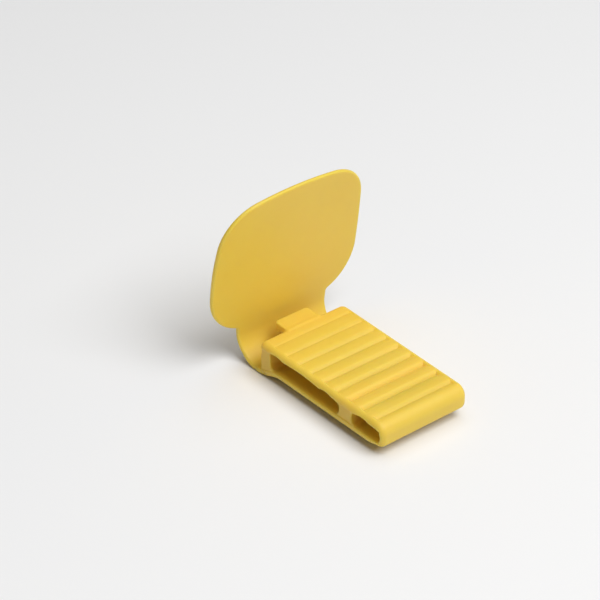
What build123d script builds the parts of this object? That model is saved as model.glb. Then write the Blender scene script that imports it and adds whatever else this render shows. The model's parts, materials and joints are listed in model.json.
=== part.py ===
from build123d import *
from math import atan2, cos, degrees, radians, sin
import os

# Dental film holder, moulded in one piece: a ridged bite block, a flexible neck that bends up
# behind its heel, and a wide backing plate. Millimetres. X runs from heel to nose, Z is up and
# Y = 0 is the mirror plane. The shapes are drawn with X = 0 at the heel face. Every node is
# then moved so that the origin is the centre of the block's flat underside.

# Bite block
BLOCK_WIDTH = 24.0
BLOCK_LENGTH = 40.8
HEEL_HEIGHT = 6.7
NOSE_HEIGHT = 5.95
SHOULDER = 2.0              # rounding of the two long top edges
EDGE_ROUNDING = 0.5         # long bottom edges
HEEL_ROUNDING = 1.9
NOSE_TOP_ROUNDING = 2.7         # side view
NOSE_BOTTOM_ROUNDING = 2.1
NOSE_CORNER = 1.5           # plan view
WALL = 1.1                  # base plate, neck, nose and backing plate
HEEL_WALL = 3.7
WALL_INSET = 0.25           # heel wall and web stand in from the long sides
WEB_START, WEB_END = 26.5, 30.5

# The two windows, open right through from side to side
WINDOW_ROUNDING = 1.6       # at the web
HEEL_WINDOW_ROUNDING = 0.5
NOSE_WINDOW_ROUNDING = 1.6
ROOF_DEPTH = 1.5            # from the top surface down to the windows
SCALLOP_RISE = 0.25
SCALLOPS = ((4.1, 8.2), (8.2, 20.2), (20.2, 24.3), (32.1, 36.2))

# Ridges across the top, sunk between two rims
RIDGE_COUNT = 8
RIDGE_PITCH = 4.15
FIRST_VALLEY = 4.35
CREST_SHARE = 0.7           # part of the pitch where a ridge is highest
CREST_ROUNDING = 0.6
FIRST_DEPTH, LAST_DEPTH = 0.35, 0.75    # of the valleys, from heel to nose
SEAT_DEPTH = 0.95           # from the top surface down to the roof that carries the ridges
RIM_WIDTH = 1.6

# Heel tab
TAB_LENGTH = 3.5
TAB_WIDTH = 9.3
TAB_THICKNESS = 1.8
TAB_ROUNDING = 1.0

# Neck, a strip of constant thickness whose mid-line is a chain of tangent arcs
NECK_RADIUS = 5.8
NECK_LOW_X, NECK_LOW_Z = -1.1, -1.4     # lowest point of the mid-line
BASE_START = 8.0                        # where the strip has become the flat base plate
NECK_TOP_Z = 6.5
NECK_TOP_HALF_WIDTH = 12.6
PIVOT_ANGLE = 45.0                      # place on the bend about which the neck flexes
PIVOT_GAP = 0.15

# Backing plate
PLATE_LEAN = 3.0            # at its foot, towards the block
PLATE_RADIUS = 170.0
PLATE_SWEEP = 12.4
PLATE_TOP = 40.7
PLATE_ARCS = ((79.4, 7.7), (10.6, 75.8), (92.0, 8.6), (11.2, 72.6))     # radius and turn

HALF_WIDTH = BLOCK_WIDTH / 2
TOP_FALL = (HEEL_HEIGHT - NOSE_HEIGHT) / BLOCK_LENGTH
LAST_VALLEY = FIRST_VALLEY + RIDGE_COUNT * RIDGE_PITCH
UNDERSIDE_CENTRE = (BASE_START + LAST_VALLEY) / 2
REACH = 60.0                # longer than the object, for cutting shapes
ABOVE, BELOW = 9.0, -5.0    # heights clear of the block


def below_top(x, depth=0.0):
    """The point at x that is a given depth below the sloping top surface."""
    return (x, HEEL_HEIGHT - TOP_FALL * x - depth)


def outline(*points):
    return make_face(Polyline(*points, close=True))


def rectangle(x0, z0, x1, z1):
    return outline((x0, z0), (x1, z0), (x1, z1), (x0, z1))


def side_prism(face, half_width=REACH):
    """A face drawn in side view, extruded to both sides of the mirror plane."""
    return extrude(Plane.XZ * face, half_width, both=True)


def span(x0, x1):
    return side_prism(rectangle(x0, -REACH, x1, REACH))


def layer(x0, x1, low_depth, high_depth):
    """A slab between two depths below the top surface."""
    low = [below_top(x0, low_depth), below_top(x1, low_depth)]
    high = [below_top(x1, high_depth), below_top(x0, high_depth)]
    return side_prism(outline(*low, *high))


def arcs(start, heading, runs):
    """A chain of tangent arcs. Each run is a radius and a turn, anticlockwise when positive."""
    edges = []
    point = Vector(*start)
    direction = Vector(cos(radians(heading)), sin(radians(heading)))
    for radius, turn in runs:
        edges.append(JernArc(point, direction, radius, turn))
        point = edges[-1] @ 1
        direction = edges[-1] % 1
    return edges


# The neck's mid-line is drawn both ways from the pivot. The ramp is the pair of equal arcs that
# lifts the strip from the bottom of the bend to the base plate.
PIVOT_X = NECK_LOW_X - NECK_RADIUS * cos(radians(PIVOT_ANGLE))
PIVOT_Z = NECK_LOW_Z + NECK_RADIUS * (1 - sin(radians(PIVOT_ANGLE)))
RAMP_LENGTH = BASE_START - NECK_LOW_X
RAMP_TURN = 2 * degrees(atan2(WALL / 2 - NECK_LOW_Z, RAMP_LENGTH))
RAMP_RADIUS = RAMP_LENGTH / (2 * sin(radians(RAMP_TURN)))
RAMP = [(RAMP_RADIUS, RAMP_TURN), (RAMP_RADIUS, -RAMP_TURN)]


def neck_foot_strip():
    runs = [(NECK_RADIUS, 90 - PIVOT_ANGLE)] + RAMP
    path = Wire(arcs((PIVOT_X, PIVOT_Z), PIVOT_ANGLE - 90, runs))
    return side_prism(trace(path, WALL), HALF_WIDTH)


def upright_strip():
    """Neck and backing plate above the pivot, still without their outline."""
    runs = [(NECK_RADIUS, -PIVOT_ANGLE - PLATE_LEAN), (PLATE_RADIUS, -PLATE_SWEEP)]
    path = Wire(arcs((PIVOT_X, PIVOT_Z), PIVOT_ANGLE + 90, runs))
    return side_prism(trace(path, WALL))


def upright_outline():
    """The outline of neck and backing plate in front view."""
    half = arcs((0, PLATE_TOP), 0, [(radius, -turn) for radius, turn in PLATE_ARCS])
    corner = half[-1] @ 1
    side = [(corner.X, corner.Y), (NECK_TOP_HALF_WIDTH, NECK_TOP_Z), (HALF_WIDTH, PIVOT_Z)]
    rest = Polyline(*side, (HALF_WIDTH, BELOW), (0, BELOW), (0, PLATE_TOP))
    right = make_face(half + rest.edges())
    return extrude(Plane.YZ * (right + mirror(right, Plane.YZ)), REACH, both=True)


def knuckle(radius, half_width):
    return Pos(PIVOT_X, 0, PIVOT_Z) * Rot(90, 0, 0) * Cylinder(radius, 2 * half_width)


def block_envelope():
    """The outside of the bite block, open downwards under the heel."""
    heel = [(BASE_START, 0), (BASE_START, BELOW), (0, BELOW), (0, HEEL_HEIGHT)]
    side = outline(*heel, (BLOCK_LENGTH, NOSE_HEIGHT), (BLOCK_LENGTH, 0))
    side = fillet(side.vertices().group_by(Axis.X)[-1].sort_by(Axis.Y)[0], NOSE_BOTTOM_ROUNDING)
    side = fillet(side.vertices().group_by(Axis.X)[-1].sort_by(Axis.Y)[-1], NOSE_TOP_ROUNDING)
    side = fillet(side.vertices().group_by(Axis.X)[0].sort_by(Axis.Y)[-1], HEEL_ROUNDING)
    plan = rectangle(-REACH, -HALF_WIDTH, BLOCK_LENGTH, HALF_WIDTH)
    plan = fillet(plan.vertices().group_by(Axis.X)[-1], NOSE_CORNER)
    return side_prism(side) & extrude(plan, REACH, both=True) & block_section()


def block_section():
    """The cross-section with its rounded shoulders, swept along the sloping top surface."""
    start, top = below_top(-REACH / 2)
    section = rectangle(-HALF_WIDTH, BELOW, HALF_WIDTH, top)
    section = fillet(section.vertices().group_by(Axis.Y)[-1], SHOULDER)
    slope = Vector(1, 0, -TOP_FALL)
    upper = extrude(Plane.YZ.offset(start) * section, amount=2 * REACH, dir=slope)
    section = rectangle(-HALF_WIDTH, 0, HALF_WIDTH, ABOVE)
    section = fillet(section.vertices().group_by(Axis.Y)[0], EDGE_ROUNDING)
    lower = extrude(Plane.YZ * section, REACH, both=True)
    return upper & (lower + span(-REACH, BASE_START))


def windows():
    """What the two windows and the scallops in their roof take away."""
    heel_end = [(BASE_START, WALL), (BASE_START, BELOW), (HEEL_WALL, BELOW)]
    roof = [below_top(HEEL_WALL, ROOF_DEPTH), below_top(WEB_START, ROOF_DEPTH)]
    first = outline(*heel_end, *roof, (WEB_START, WALL))
    first = fillet(first.vertices().group_by(Axis.X)[-1], WINDOW_ROUNDING)
    first = fillet(first.vertices().group_by(Axis.X)[0].sort_by(Axis.Y)[-1], HEEL_WINDOW_ROUNDING)
    nose_wall = BLOCK_LENGTH - WALL
    roof = [below_top(nose_wall, ROOF_DEPTH), below_top(WEB_END, ROOF_DEPTH)]
    second = outline((WEB_END, WALL), (nose_wall, WALL), *roof)
    second = fillet(second.vertices().group_by(Axis.X)[0], WINDOW_ROUNDING)
    second = fillet(second.vertices().group_by(Axis.X)[-1], NOSE_WINDOW_ROUNDING)
    faces = [first, second]
    for x0, x1 in SCALLOPS:
        low0, low1 = below_top(x0, ROOF_DEPTH), below_top(x1, ROOF_DEPTH)
        high = below_top((x0 + x1) / 2, ROOF_DEPTH - SCALLOP_RISE)
        faces.append(make_face([ThreePointArc(low0, high, low1), Line(low1, low0)]))
    return [side_prism(face) for face in faces]


def above_ramp():
    """Everything over the mid-line of the ramp, from its lowest point to the base plate."""
    low, high = (NECK_LOW_X, NECK_LOW_Z), (BASE_START, WALL / 2)
    cover = Polyline(high, (BASE_START, ABOVE), (NECK_LOW_X, ABOVE), low)
    return side_prism(make_face(arcs(low, 0, RAMP) + cover.edges()))


def ridge(index):
    """One ridge: a slow rise from the heel side, a round crest, then a quick fall."""
    deepen = (LAST_DEPTH - FIRST_DEPTH) / RIDGE_COUNT
    x0 = FIRST_VALLEY + index * RIDGE_PITCH
    x1 = x0 + RIDGE_PITCH
    depth0 = FIRST_DEPTH + index * deepen
    depth1 = depth0 + deepen
    back = [below_top(x0, depth0), below_top(x0 + CREST_SHARE * RIDGE_PITCH), below_top(x1, depth1)]
    face = outline(*back, below_top(x1, SEAT_DEPTH), below_top(x0, SEAT_DEPTH))
    face = fillet(face.vertices().sort_by(Axis.Y)[-1], CREST_ROUNDING)
    return side_prism(face, HALF_WIDTH - RIM_WIDTH)


def heel_tab():
    plan = rectangle(-TAB_LENGTH, -TAB_WIDTH / 2, HEEL_ROUNDING, TAB_WIDTH / 2)
    plan = fillet(plan.vertices().group_by(Axis.X)[0], TAB_ROUNDING)
    return extrude(plan, REACH, both=True) & layer(-REACH, REACH, TAB_THICKNESS, 0)


nodes = {}

# Neck and plate. The foot belongs to the block and ends in a round knuckle at the pivot.
foot = neck_foot_strip()
upright = upright_strip() & upright_outline() - knuckle(WALL / 2 + PIVOT_GAP, REACH)
neck_zone = side_prism(rectangle(-REACH, BELOW, REACH, NECK_TOP_Z))
nodes["neck_foot"] = foot + knuckle(WALL / 2, HALF_WIDTH)
nodes["neck_arm"] = upright & neck_zone
nodes["backing_plate"] = upright - neck_zone

# Shell of the block around its windows
envelope = block_envelope()
openings = windows()
tab = heel_tab()
shell = envelope - openings
floor = side_prism(rectangle(-REACH, BELOW, REACH, WALL))
beside_ridges = side_prism(rectangle(-REACH, -REACH, REACH, REACH), HALF_WIDTH - RIM_WIDTH)
near_half = Pos(0, -REACH, 0) * Box(2 * REACH, 2 * REACH, 2 * REACH)
rims = (shell & layer(FIRST_VALLEY, LAST_VALLEY, SEAT_DEPTH, -1)) - beside_ridges
nodes["base_plate"] = shell & span(BASE_START, LAST_VALLEY) & floor
nodes["nose"] = shell & span(LAST_VALLEY, REACH)
nodes["heel_land"] = (shell & layer(0, FIRST_VALLEY, ROOF_DEPTH, -1)) - tab
nodes["roof"] = shell & layer(FIRST_VALLEY, LAST_VALLEY, ROOF_DEPTH, SEAT_DEPTH)
nodes["rim_near"] = rims & near_half
nodes["rim_far"] = rims - near_half
nodes["heel_tab"] = tab

# Walls that carry the roof
inside = Box(2 * REACH, BLOCK_WIDTH - 2 * WALL_INSET, 2 * REACH)
walls = envelope & inside & layer(0, BLOCK_LENGTH, REACH, ROOF_DEPTH)
web_zone = span(WEB_START - WINDOW_ROUNDING, WEB_END + WINDOW_ROUNDING)
nodes["heel_wall"] = (walls & above_ramp() & span(0, HEEL_WALL)) - [foot, tab]
nodes["mid_web"] = (walls & web_zone) - [floor, *openings]

for i in range(RIDGE_COUNT):
    nodes[f"bite_ridge_{i + 1}"] = ridge(i)

os.makedirs("parts", exist_ok=True)
for name, shape in nodes.items():
    export_step(Pos(-UNDERSIDE_CENTRE, 0, 0) * shape, f"parts/{name}.step")
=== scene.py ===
import json
import math

import bmesh
import bpy
import numpy as np
from mathutils import Matrix, Vector


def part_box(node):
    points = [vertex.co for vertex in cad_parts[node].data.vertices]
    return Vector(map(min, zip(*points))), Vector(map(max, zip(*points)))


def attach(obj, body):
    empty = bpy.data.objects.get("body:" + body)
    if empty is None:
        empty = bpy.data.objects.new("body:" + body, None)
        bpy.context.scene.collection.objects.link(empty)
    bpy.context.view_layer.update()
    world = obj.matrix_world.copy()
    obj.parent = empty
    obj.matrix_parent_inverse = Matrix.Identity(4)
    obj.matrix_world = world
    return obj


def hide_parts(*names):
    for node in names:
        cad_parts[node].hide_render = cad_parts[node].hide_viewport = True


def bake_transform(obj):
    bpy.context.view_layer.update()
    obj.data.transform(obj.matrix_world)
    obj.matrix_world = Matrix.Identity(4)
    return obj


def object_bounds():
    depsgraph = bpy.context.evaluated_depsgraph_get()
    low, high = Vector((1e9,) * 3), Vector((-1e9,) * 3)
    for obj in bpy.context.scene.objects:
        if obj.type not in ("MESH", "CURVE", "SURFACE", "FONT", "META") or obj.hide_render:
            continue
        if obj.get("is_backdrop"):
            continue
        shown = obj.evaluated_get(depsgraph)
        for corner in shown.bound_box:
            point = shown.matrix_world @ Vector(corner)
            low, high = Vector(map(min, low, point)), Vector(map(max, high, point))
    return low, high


# A yellow dental film holder, moulded in one piece. Each skin is the zero surface of a distance
# field that is negative inside the plastic, so every edge and inner corner gets its own rounding.
# One skin is the bite block with the foot of the neck, and the other is the rest of the neck with
# the backing plate. They meet in a flat cut at the lowest point of the neck. Shapes are in
# millimetres, in the frame's own axes, until a piece is finished in metres.

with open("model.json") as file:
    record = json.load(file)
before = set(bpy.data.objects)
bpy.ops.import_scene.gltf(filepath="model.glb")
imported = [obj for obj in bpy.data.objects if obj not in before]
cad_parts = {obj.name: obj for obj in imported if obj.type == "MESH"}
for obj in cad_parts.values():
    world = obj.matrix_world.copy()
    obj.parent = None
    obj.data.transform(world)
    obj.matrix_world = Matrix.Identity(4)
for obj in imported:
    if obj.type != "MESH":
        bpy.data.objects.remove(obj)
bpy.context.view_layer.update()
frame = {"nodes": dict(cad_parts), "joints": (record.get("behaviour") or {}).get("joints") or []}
MM = 1000.0


def corners(node):
    low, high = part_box(node)
    return np.array(low) * MM, np.array(high) * MM


# Places and sizes that the frame gives
base_low, base_high = corners("base_plate")
foot_low, _ = corners("neck_foot")
_, land_high = corners("heel_land")
wall_low, wall_high = corners("heel_wall")
web_low, web_high = corners("mid_web")
nose_low, nose_high = corners("nose")
roof_low, _ = corners("roof")
tab_low, tab_high = corners("heel_tab")
_, arm_high = corners("neck_arm")
plate_low, plate_high = corners("backing_plate")
ridges = [corners(name) for name in sorted(frame["nodes"]) if name.startswith("bite_ridge")]
valleys = [low[0] for low, _ in ridges] + [ridges[-1][1][0]]
pivot = np.array(frame["joints"][0]["pos_m"]) * MM
HALF_WIDTH = base_high[1]
WALL = base_high[2]
HEEL_X, NOSE_X = wall_low[0], nose_high[0]
PITCH = valleys[1] - valleys[0]
RIDGE_HALF = ridges[0][1][1]
LEDGE = HALF_WIDTH - wall_high[1]
ROOF_DEPTH = nose_high[2] - roof_low[2]
NECK_TOP_Z = arm_high[2]

# Outside of the block. The long edges are rounded by EDGE low down and by SHOULDER at the top. The
# bands are where the rounding goes from one to the other: heights, and distances from each end.
SHOULDER = 1.5
EDGE = WALL / 2             # the thin strip's edges are full round
SHOULDER_BAND = (1, 4)
NOSE_BAND = (5, 1.5)
HEEL_BAND = (3, 1)
HEEL_CORNER = 0.6           # share of the shoulder that rounds the heel's upright edges
HEEL_ROUNDING = 1.9
NOSE_TOP_ROUNDING, NOSE_BOTTOM_ROUNDING = 2.7, 2.1
LEDGE_RUN = 0.4             # over which the walls' sides step in from the strips' sides
TOP_FALL = (land_high[2] - nose_high[2]) / (nose_low[0] - HEEL_X - HEEL_ROUNDING)

# Windows through the block
WINDOW_EDGE = 0.3
WINDOW_ROUNDING = 1.6
NOSE_WINDOW_ROUNDING = 1.6
HEEL_WINDOW_ROUNDING, HEEL_FLOOR_ROUNDING = 0.5, 2.0
SCALLOP_RISE = 0.3
SCALLOPS = ((4.1, 8.2), (8.2, 20.2), (20.2, 24.3), (32.1, 36.2))    # from the heel face

# Ridges
CREST_SHARE = 0.72          # part of the pitch where a ridge is highest
RISE_CURVE, DROP_CURVE = 2.4, 2.0
DEPTH_PLACES = (0, 6, 7, 8)                             # valleys, counted from the heel
DEPTHS = (0.25, 0.85, 0.85, 0.55)
VALLEY_LEAN = 0.75          # how far a valley lies heelward of its place, per depth
TROUGH_END_SLOPE = 1.0
TROUGH_REACH = 0.45         # of a valley's end slope into the rim

# Heel tab, neck and plate. The runs are where a fillet grows from nothing to its full size.
TAB_CORNER, TAB_EDGE = 1.0, 0.35
TAB_FILLET, TAB_FILLET_RUN = 0.8, 1.0
INNER_FILLET = 0.6          # between the neck's foot and the heel
INNER_RUN_DEPTH, INNER_RUN_HEEL = 0.5, 0.3
SHARP = 1e-6                # rounding of an edge that stays sharp
PLATE_FILLET = 0.3          # between the plate and the neck, in front view
NECK_OVERLAP = 3.0          # of the neck's outline into the plate's
PLATE_LEAN, PLATE_RADIUS, PLATE_SWEEP = 3.0, 170.0, 12.4
PLATE_ARCS = ((79.4, 7.7), (10.6, 75.8), (92.0, 8.6), (11.2, 72.6))
HINGE_SIDE = math.radians(45)                           # where the hinge lies on the neck's bend
NECK_LOW_Z = foot_low[2] + WALL / 2
NECK_RADIUS = (pivot[2] - NECK_LOW_Z) / (1 - math.sin(HINGE_SIDE))
NECK_LOW_X = pivot[0] + NECK_RADIUS * math.cos(HINGE_SIDE)
SEAM = (NECK_LOW_X, 0, NECK_LOW_Z)
SEAM_TOP = tab_low[2] - 1                               # the seam's cut ends 1 mm under the tab
OVERRUN = 2.0                                           # of each skin past the seam, cut off later

RAMP_LENGTH = base_low[0] - NECK_LOW_X
RAMP_TURN = 2 * math.degrees(math.atan2(WALL / 2 - NECK_LOW_Z, RAMP_LENGTH))
RAMP_RADIUS = RAMP_LENGTH / (2 * math.sin(math.radians(RAMP_TURN)))
STRAIGHT = 1e5              # radius of an arc that is as good as straight

# Grids that the skins are found on: cell sizes along X, Y and Z. Across the block, the cells are
# fine near its sides and the tab's sides, from so far inside them to so far outside.
BLOCK_CELL = (0.2, 0.6, 0.17)
FINE_CELL = 0.16
FINE_AT_SIDE, FINE_AT_TAB = (1.2, 1), (1.4, 0.6)
PLATE_CELL = (0.22, 0.25, 0.22)
MARGIN, SIDE_MARGIN, END_MARGIN = 0.5, 0.6, 1

# How vertices settle on a skin
ROUNDS = 3
LEAST_STEEPNESS = 0.25
LONGEST_MOVE = 0.1


class Chain:
    """A row of tangent arcs. Each run is a radius and a turn in degrees, anticlockwise positive."""

    def __init__(self, start, heading, runs):
        self.arcs = []
        point, angle = np.array(start, float), math.radians(heading)
        for radius, turn in runs:
            side = math.copysign(1, turn)
            centre = point + side * radius * np.array([-math.sin(angle), math.cos(angle)])
            first = angle - side * math.pi / 2
            angle += math.radians(turn)
            last = angle - side * math.pi / 2
            point = centre + radius * np.array([math.cos(last), math.sin(last)])
            self.arcs.append((centre, radius, (first + last) / 2, math.radians(turn) / 2))

    def distance(self, a, b):
        """Distance to the chain, positive on the right of the direction of travel."""
        best = None
        for centre, radius, middle, half in self.arcs:
            u, v = a - centre[0], b - centre[1]
            swing = (np.arctan2(v, u) - middle + math.pi) % (2 * math.pi) - math.pi
            nearest = middle + np.clip(swing, -abs(half), abs(half))
            gap = np.hypot(u - radius * np.cos(nearest), v - radius * np.sin(nearest))
            signed = np.copysign(gap, (np.hypot(u, v) - radius) * half)
            best = signed if best is None else np.where(abs(signed) < abs(best), signed, best)
        return best


def straight(length):
    return STRAIGHT, math.degrees(length / STRAIGHT)


def midline():
    """The side view of the thin strip: base plate, ramp, neck bend and backing plate."""
    base = straight(NOSE_X - WALL / 2 - base_low[0])
    ramp = [(RAMP_RADIUS, RAMP_TURN), (RAMP_RADIUS, -RAMP_TURN)]
    upright = [(NECK_RADIUS, -90 - PLATE_LEAN), (PLATE_RADIUS, -PLATE_SWEEP)]
    return Chain((NOSE_X - WALL / 2, WALL / 2), 180, [base, *ramp, *upright])


def plate_outline():
    """Half of the plate's outline in front view, from its top down and back in to the middle."""
    rim = [(radius, -turn) for radius, turn in PLATE_ARCS]
    return Chain((0, plate_high[2]), 0, [*rim, (STRAIGHT, -straight(HALF_WIDTH)[1])])


MIDLINE = midline()
OUTLINE = plate_outline()


def meet(a, b, r):
    """What is in both fields, with the edge between them rounded."""
    return np.minimum(np.maximum(a, b), -r) + np.hypot(np.maximum(a + r, 0), np.maximum(b + r, 0))


def join(a, b, r):
    """What is in either field, with a fillet between them."""
    return -meet(-a, -b, r)


def fade(value, start, end):
    """0 at start, 1 at end, smooth between."""
    t = np.clip((value - start) / (end - start), 0, 1)
    return t * t * (3 - 2 * t)


def top_at(x):
    return nose_high[2] + TOP_FALL * (nose_low[0] - x)


def ridge_depth(x, side):
    """How deep the ridged surface lies under the top surface. Each ridge is a hump that rises
    slowly towards the nose and drops quickly into a sharp valley. Each valley ends in a slope
    up to the rims."""
    depth = np.zeros_like(x)
    depths = np.interp(range(len(valleys)), DEPTH_PLACES, DEPTHS)
    for valley, deepest in zip(valleys, depths):
        bottom = valley - VALLEY_LEAN * deepest
        drop = 1 - (bottom - x) / ((1 - CREST_SHARE) * PITCH)
        rise = 1 - (x - bottom) / (CREST_SHARE * PITCH)
        before = np.clip(drop, 0, 1) ** DROP_CURVE
        after = np.clip(rise, 0, 1) ** RISE_CURVE
        depth = np.maximum(depth, deepest * np.where(x < bottom, before, after))
    run_out = TROUGH_END_SLOPE * (RIDGE_HALF + TROUGH_REACH - side)
    return np.minimum(depth, np.maximum(run_out, 0))


def ceiling_at(x):
    """Height of the windows' scalloped ceiling."""
    height = top_at(x) - ROOF_DEPTH
    for start, end in SCALLOPS:
        t = np.clip((x - HEEL_X - start) / (end - start), 0, 1)
        height = height + 4 * SCALLOP_RISE * t * (1 - t)
    return height


def window(x, floor, ceiling, start, end, roundings):
    """One opening between two walls. The roundings are of its lower and upper corner at the
    start, then of those at the end."""
    low_start, high_start, low_end, high_end = roundings
    lower = np.maximum(meet(floor, start - x, low_start), meet(floor, x - end, low_end))
    upper = np.maximum(meet(ceiling, start - x, high_start), meet(ceiling, x - end, high_end))
    return np.maximum(lower, upper)


def windows(x, z, m):
    """The two openings that run through the block from side to side."""
    floor = WALL / 2 - m
    ceiling = z - ceiling_at(x)
    web_start, web_end = web_low[0] + WINDOW_ROUNDING, web_high[0] - WINDOW_ROUNDING
    at_heel = (HEEL_FLOOR_ROUNDING, HEEL_WINDOW_ROUNDING)
    at_web = (WINDOW_ROUNDING, WINDOW_ROUNDING)
    at_nose = (NOSE_WINDOW_ROUNDING, NOSE_WINDOW_ROUNDING)
    first = window(x, floor, ceiling, wall_high[0], web_start, at_heel + at_web)
    second = window(x, floor, ceiling, web_end, NOSE_X - WALL, at_web + at_nose)
    return np.minimum(first, second)


def heel_tab(x, side, z):
    """The rounded tab on the heel, level with the top of the block."""
    tab = meet(tab_low[0] - x, side - tab_high[1], TAB_CORNER)
    tab = meet(tab, z - top_at(x), TAB_EDGE)
    tab = meet(tab, tab_low[2] - z, TAB_EDGE)
    return np.maximum(tab, x - tab_high[0])


def shoulder_share(x, z):
    """How much of the shoulder rounds the long edges at a place: all of it at the top and at the
    nose, and a part of it at the heel."""
    at_nose = fade(x, NOSE_X - NOSE_BAND[0], NOSE_X - NOSE_BAND[1])
    at_heel = HEEL_CORNER * fade(x, HEEL_X + HEEL_BAND[0], HEEL_X + HEEL_BAND[1])
    return np.maximum(fade(z, *SHOULDER_BAND), np.maximum(at_nose, at_heel))


def block_field(x, y, z):
    """The bite block, its tab and the foot of the neck."""
    m = MIDLINE.distance(x, z)
    side = abs(y)
    outer = meet(z - top_at(x) + ridge_depth(x, side), x - NOSE_X, NOSE_TOP_ROUNDING)
    outer = meet(outer, -m - WALL / 2, NOSE_BOTTOM_ROUNDING)
    outer = meet(outer, HEEL_X - x, HEEL_ROUNDING)
    wall = np.maximum(np.maximum(WALL / 2 - m, z - ceiling_at(x)), x - NOSE_X + WALL)
    half = HALF_WIDTH - LEDGE * fade(-wall, 0, LEDGE_RUN)
    body = meet(outer, side - half, EDGE + (SHOULDER - EDGE) * shoulder_share(x, z))
    body = meet(body, -windows(x, z, m), WINDOW_EDGE)
    strip = meet(abs(m) - WALL / 2, side - HALF_WIDTH, EDGE)
    strip = np.maximum(strip, np.maximum(x - HEEL_X - OVERRUN, NECK_LOW_X - OVERRUN - x))
    at_heel = fade(HEEL_X + INNER_RUN_HEEL - x, 0, INNER_RUN_HEEL)
    inner = INNER_FILLET * fade(m, 0, INNER_RUN_DEPTH) * at_heel + SHARP
    outside = TAB_FILLET * fade(HEEL_X + HEEL_ROUNDING - x, 0, TAB_FILLET_RUN) + SHARP
    return join(join(body, strip, inner), heel_tab(x, side, z), outside)


def plate_field(x, y, z):
    """The neck from its lowest point up, and the backing plate."""
    m = MIDLINE.distance(x, z)
    side = abs(y)
    flare = (arm_high[1] - HALF_WIDTH) * np.clip((z - pivot[2]) / (NECK_TOP_Z - pivot[2]), 0, 1)
    neck = np.maximum(side - HALF_WIDTH - flare, z - NECK_TOP_Z - NECK_OVERLAP)
    front = join(-OUTLINE.distance(side, z), neck, PLATE_FILLET)
    return np.maximum(meet(abs(m) - WALL / 2, front, EDGE), x - NECK_LOW_X - OVERRUN)


def steps(low, high, coarse, fine=None, zones=()):
    """Grid places from low to high, with fine steps inside the zones."""
    places = [low]
    while places[-1] < high:
        near = any(a - coarse < places[-1] < b for a, b in zones)
        places.append(places[-1] + (fine if near else coarse))
    return np.array(places)


def gradient(field, points):
    """The field's outward direction at each point, not yet of unit length."""
    reach = 1e-3
    slopes = []
    for axis in range(3):
        shift = np.zeros(3)
        shift[axis] = reach
        ahead, behind = points + shift, points - shift
        slopes.append((field(*ahead.T) - field(*behind.T)) / (2 * reach))
    return np.stack(slopes, axis=1)


def crossings(value, axes, axis):
    """The grid edges along one axis that the surface crosses: the places where it crosses them
    and the grid index of each edge's lower end."""
    lined = np.moveaxis(value, axis, 0)
    before, after = lined[:-1], lined[1:]
    index = np.argwhere((before < 0) != (after < 0))
    low, high = before[tuple(index.T)], after[tuple(index.T)]
    grid = np.insert(index[:, 1:], axis, index[:, 0], axis=1)
    place = np.stack([axes[k][grid[:, k]] for k in range(3)], axis=1)
    length = axes[axis][index[:, 0] + 1] - axes[axis][index[:, 0]]
    place[:, axis] += low / (low - high) * length
    return place, grid


def skin(field, axes):
    """The field's zero surface as a closed mesh of quads, with a vertex in each grid cell that
    the surface crosses."""
    value = field(axes[0][:, None, None], axes[1][None, :, None], axes[2][None, None, :])
    shape = tuple(n - 1 for n in value.shape)
    total, count = np.zeros((*shape, 3)), np.zeros(shape)
    quads = []
    for axis in range(3):
        place, grid = crossings(value, axes, axis)
        p, q = [k for k in range(3) if k != axis]
        around = []
        for dp, dq in ((0, 0), (1, 0), (1, 1), (0, 1)):
            cell = grid.copy()
            cell[:, p] -= dp
            cell[:, q] -= dq
            np.add.at(total, tuple(cell.T), place)
            np.add.at(count, tuple(cell.T), 1)
            around.append(np.ravel_multi_index(tuple(cell.T), shape))
        quads.append(np.stack(around, axis=1))
    used, number = np.unique(np.concatenate(quads), return_inverse=True)
    vertices = total.reshape(-1, 3)[used] / count.reshape(-1, 1)[used]
    return mesh_of(field, settled(field, vertices), number.reshape(-1, 4))


def settled(field, vertices):
    """The vertices moved along the field's slope until they lie on its zero surface."""
    for _ in range(ROUNDS):
        slope = gradient(field, vertices)
        steepness = np.maximum((slope**2).sum(axis=1), LEAST_STEEPNESS)
        move = np.clip(field(*vertices.T) / steepness, -LONGEST_MOVE, LONGEST_MOVE)
        vertices = vertices - move[:, None] * slope
    return vertices


def mesh_of(field, vertices, quads):
    """A smooth mesh whose faces all look out of the field's solid. Where four faces meet in one
    edge, which is far shorter than a grid cell, the edge is drawn together to a point."""
    mesh = bmesh.new()
    made = [mesh.verts.new(v) for v in vertices]
    for quad in quads:
        mesh.faces.new([made[i] for i in quad])
    bmesh.ops.collapse(mesh, edges=[e for e in mesh.edges if len(e.link_faces) > 2])
    for face in mesh.faces:
        face.smooth = True
    mesh.normal_update()
    outward = gradient(field, np.array([f.calc_center_median() for f in mesh.faces]))
    facing = (outward * np.array([f.normal for f in mesh.faces])).sum(axis=1)
    turned = [f for f, agrees in zip(mesh.faces, facing) if agrees < 0]
    bmesh.ops.reverse_faces(mesh, faces=turned)
    return mesh


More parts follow.
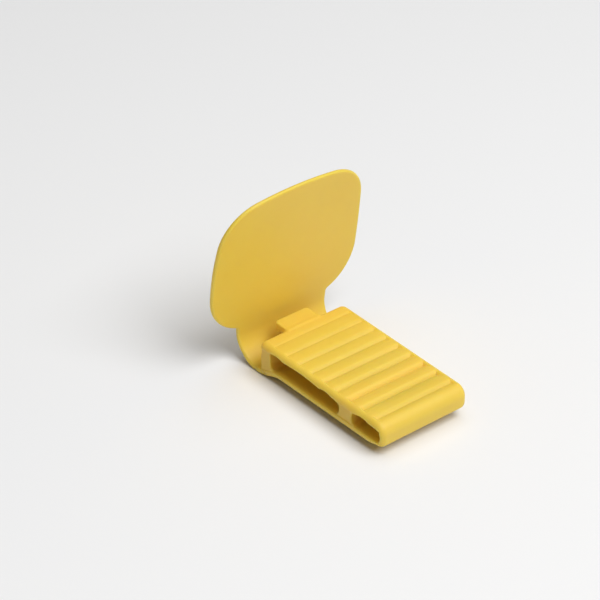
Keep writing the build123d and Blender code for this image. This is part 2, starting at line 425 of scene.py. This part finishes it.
def cut_at_seam(mesh, normal):
    """Cut off what lies past the seam, on the normal's side and under the heel tab, and close
    the cut with a flat face."""
    faces = [f for f in mesh.faces if f.calc_center_median().z < SEAM_TOP]
    edges = {e for f in faces for e in f.edges}
    verts = {v for f in faces for v in f.verts}
    bmesh.ops.bisect_plane(mesh, geom=[*verts, *edges, *faces], plane_co=SEAM, plane_no=normal, dist=1e-5)
    past = []
    for face in mesh.faces:
        centre = face.calc_center_median()
        if centre.z < SEAM_TOP and (centre - Vector(SEAM)).dot(Vector(normal)) > 0:
            past.append(face)
    bmesh.ops.delete(mesh, geom=past, context="FACES")
    rim = [e for e in mesh.edges if len(e.link_faces) == 1]
    for face in bmesh.ops.holes_fill(mesh, edges=rim, sides=0)["faces"]:
        face.smooth = False


def finish_piece(name, mesh, field, nodes):
    """A piece in metres from a skin, shaded with the field's own normals."""
    data = bpy.data.meshes.new(name)
    mesh.to_mesh(data)
    slope = gradient(field, np.array([v.co for v in data.vertices]))
    slope /= np.linalg.norm(slope, axis=1)[:, None] + 1e-12
    normals = []
    for face in data.polygons:
        for v in face.vertices:
            normals.append(tuple(slope[v]) if face.use_smooth else tuple(face.normal))
    data.normals_split_custom_set(normals)
    data.transform(Matrix.Scale(1 / MM, 4))
    piece = bpy.data.objects.new(name, data)
    bpy.context.collection.objects.link(piece)
    data.materials.append(PLASTIC)
    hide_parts(*nodes)
    return piece


def noise(tree, scale, detail):
    """A noise texture fixed to the object."""
    texture = tree.nodes.new("ShaderNodeTexNoise")
    texture.inputs["Scale"].default_value = scale
    texture.inputs["Detail"].default_value = detail
    place = tree.nodes.new("ShaderNodeTexCoord")
    tree.links.new(place.outputs["Object"], texture.inputs["Vector"])
    return texture.outputs["Fac"]


def moulded_plastic():
    """Yellow plastic that lets some light through, with a satin skin, faint mottling from the
    mould and a fine grain."""
    material = bpy.data.materials.new("moulded_yellow_plastic")
    material.use_nodes = True
    tree = material.node_tree
    shader = tree.nodes["Principled BSDF"]
    shader.inputs["Specular IOR Level"].default_value = 0.4
    shader.inputs["Subsurface Weight"].default_value = 0.6
    shader.inputs["Subsurface Scale"].default_value = 0.004
    shader.inputs["Subsurface Radius"].default_value = (1.0, 0.75, 0.25)

    mottle = noise(tree, 120, 3)
    colour = tree.nodes.new("ShaderNodeMix")
    colour.data_type = "RGBA"
    colour.inputs["A"].default_value = (0.775, 0.52, 0.066, 1)
    colour.inputs["B"].default_value = (0.815, 0.56, 0.084, 1)
    tree.links.new(mottle, colour.inputs["Factor"])
    tree.links.new(colour.outputs["Result"], shader.inputs["Base Color"])

    rough = tree.nodes.new("ShaderNodeMapRange")
    rough.inputs["To Min"].default_value = 0.42
    rough.inputs["To Max"].default_value = 0.52
    tree.links.new(mottle, rough.inputs["Value"])
    tree.links.new(rough.outputs["Result"], shader.inputs["Roughness"])

    bump = tree.nodes.new("ShaderNodeBump")
    bump.inputs["Strength"].default_value = 0.15
    bump.inputs["Distance"].default_value = 0.00004
    tree.links.new(noise(tree, 2200, 2), bump.inputs["Height"])
    tree.links.new(bump.outputs["Normal"], shader.inputs["Normal"])
    return material


PLASTIC = moulded_plastic()


def bite_block():
    """The block with its tab and the foot of the neck, on the fixed body."""
    at_side = (RIDGE_HALF - FINE_AT_SIDE[0], HALF_WIDTH + FINE_AT_SIDE[1])
    at_tab = (tab_high[1] - FINE_AT_TAB[0], tab_high[1] + FINE_AT_TAB[1])
    zones = [zone for a, b in (at_side, at_tab) for zone in ((a, b), (-b, -a))]
    edge = HALF_WIDTH + SIDE_MARGIN
    axes = (
        steps(NECK_LOW_X - OVERRUN - END_MARGIN, NOSE_X + MARGIN, BLOCK_CELL[0]),
        steps(-edge, edge, BLOCK_CELL[1], FINE_CELL, zones),
        steps(foot_low[2] - MARGIN, tab_high[2] + MARGIN, BLOCK_CELL[2]),
    )
    mesh = skin(block_field, axes)
    cut_at_seam(mesh, (-1, 0, 0))
    nodes = [name for name in frame["nodes"] if name not in ("neck_arm", "backing_plate")]
    block = finish_piece("bite_block_moulding", mesh, block_field, nodes)
    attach(block, "bite_block")


def neck_and_plate():
    """The rest of the neck and the backing plate, as one piece."""
    edge = plate_high[1] + SIDE_MARGIN
    axes = (
        steps(plate_low[0] - END_MARGIN, NECK_LOW_X + OVERRUN + END_MARGIN, PLATE_CELL[0]),
        steps(-edge, edge, PLATE_CELL[1]),
        steps(foot_low[2] - MARGIN, plate_high[2] + MARGIN, PLATE_CELL[2]),
    )
    mesh = skin(plate_field, axes)
    cut_at_seam(mesh, (1, 0, 0))
    plate = finish_piece("neck_and_backing_plate", mesh, plate_field, ["neck_arm", "backing_plate"])
    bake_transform(plate)


def floor():
    """A wide pale floor that the object stands on."""
    low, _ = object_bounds()
    bpy.ops.mesh.primitive_plane_add(size=6, location=(0, 0, low[2]))
    ground = bpy.context.object
    ground.name = "floor"
    paint = bpy.data.materials.new("pale_floor")
    paint.use_nodes = True
    shader = paint.node_tree.nodes["Principled BSDF"]
    shader.inputs["Base Color"].default_value = (0.83, 0.83, 0.83, 1)
    shader.inputs["Roughness"].default_value = 0.9
    shader.inputs["Specular IOR Level"].default_value = 0.1
    ground.data.materials.append(paint)
    ground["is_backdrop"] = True


def lights():
    """A large soft light high on the nose side, another overhead, and a dim even sky."""
    world = bpy.data.worlds.new("studio")
    world.use_nodes = True
    world.node_tree.nodes["Background"].inputs["Color"].default_value = (1, 1, 1, 1)
    world.node_tree.nodes["Background"].inputs["Strength"].default_value = 0.15
    bpy.context.scene.world = world
    for name, place, size, power in (
        ("key", (0.65, 0.15, 1.0), 0.8, 12.0),
        ("overhead", (0.0, 0.10, 1.0), 1.0, 4.2),
    ):
        light = bpy.data.lights.new(name, "AREA")
        light.size = size
        light.energy = power
        holder = bpy.data.objects.new(name, light)
        holder.location = place
        holder.rotation_euler = Vector(place).to_track_quat("Z", "Y").to_euler()
        bpy.context.collection.objects.link(holder)


def camera():
    """A long lens that looks down on the nose and the near side."""
    azimuth, elevation = math.radians(50.39), math.radians(33.16)
    distance = 0.5743
    target = Vector((-0.037145, 0.01164, 0))
    away = Vector((
        math.sin(azimuth) * math.cos(elevation),
        -math.cos(azimuth) * math.cos(elevation),
        math.sin(elevation),
    ))
    lens = bpy.data.cameras.new("camera")
    lens.lens = 152.64
    lens.clip_start = 0.01
    holder = bpy.data.objects.new("camera", lens)
    holder.location = target + distance * away
    holder.rotation_euler = away.to_track_quat("Z", "Y").to_euler()
    bpy.context.collection.objects.link(holder)
    bpy.context.scene.camera = holder


bite_block()
neck_and_plate()
floor()
lights()
camera()
bpy.context.scene.view_settings.view_transform = "Standard"
